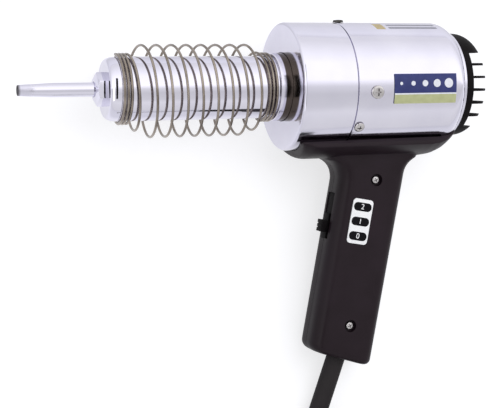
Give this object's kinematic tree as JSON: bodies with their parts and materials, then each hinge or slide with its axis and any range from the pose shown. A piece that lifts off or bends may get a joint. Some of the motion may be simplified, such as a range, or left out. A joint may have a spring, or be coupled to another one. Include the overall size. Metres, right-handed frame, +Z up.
{
  "type": "hot air welder",
  "caption": "Pistol-shaped hot air welding tool: metal motor drum with an intake cap, barrel in a wire guard, nozzle, black grip with a slide switch, and a coiled mains cord.",
  "frame": {"origin": "on the bench, under the middle of the tool's box as it lies on its side, cord left out", "axes": "+X from the nozzle to the rear of the drum, +Y from the grip to the drum, +Z up from the bench"},
  "size_m": [0.3392, 0.4546, 0.092],
  "materials": {
    "chrome": "polished chrome plate",
    "steel": "bright zinc plated",
    "guard_wire": "drawn wire, warm from heat",
    "black_plastic": "moulded, slightly glossy",
    "black_rubber": "matte",
    "cast_alloy": "die cast",
    "core_iron": "laminated",
    "copper_wire": "varnished winding",
    "brass": "bright",
    "carbon": "pressed carbon",
    "heater_ceramic": "fired, unglazed",
    "mica": "pressed mica",
    "fan_plastic": "moulded",
    "blue_plate": "printed foil, satin",
    "white_plate": "printed plate"
  },
  "bodies": {
    "housing": {"nozzle": "chrome", "nozzle_nut": "chrome", "barrel_cap": "chrome", "barrel": "chrome", "barrel_collar": "chrome", "mica_sleeve": "mica", "heater_core": "heater_ceramic", "core_disc_front": "mica", "core_disc_rear": "mica", "heater_element": "steel", "coil_guard": "guard_wire", "front_shell": "chrome", "rear_shell": "chrome", "seam_screw_top": "steel", "seam_screw_near": "steel", "seam_screw_far": "steel", "motor_screw_near": "steel", "motor_screw_upper": "steel", "motor_screw_lower": "steel", "motor_mount": "cast_alloy", "front_bearing": "steel", "fan_baffle": "cast_alloy", "field_stack": "core_iron", "field_coil_upper": "copper_wire", "field_coil_lower": "copper_wire", "rear_bracket": "cast_alloy", "rear_bearing": "steel", "brush_holder_upper": "brass", "brush_holder_lower": "brass", "carbon_brush_upper": "carbon", "carbon_brush_lower": "carbon", "brush_spring_upper": "steel", "brush_spring_lower": "steel", "intake_cap": "black_plastic", "grip_strap": "steel", "strain_relief": "black_rubber", "grip_near": "black_plastic", "grip_far": "black_plastic", "switch_legend": "white_plate", "grip_screw_upper": "steel", "grip_screw_lower": "steel", "switch_body": "black_plastic", "name_plate": "blue_plate", "cord_coil": "black_rubber", "cord_lead": "black_rubber", "cord_tail": "black_rubber", "cord_tie": "black_plastic", "plug_body": "black_rubber", "plug_pin_left": "brass", "plug_pin_right": "brass"},
    "rotor": {"motor_shaft": "steel", "armature_core": "core_iron", "armature_winding_front": "copper_wire", "armature_winding_rear": "copper_wire", "commutator": "copper_wire", "fan": "fan_plastic", "fan_nut": "steel"},
    "switch": {"switch_knob": "black_plastic"}
  },
  "joints": [
    {"name": "fan_spin", "type": "hinge", "parent": "housing", "child": "rotor", "pos_m": [0.0355, 0.10186, 0.04499], "axis": [1, 0, 0], "continuous": true},
    {"name": "switch_slide", "type": "slide", "parent": "housing", "child": "switch", "axis": [0.1908, 0.9707, 0.1462], "range_m": [0, 0.014]}
  ]
}
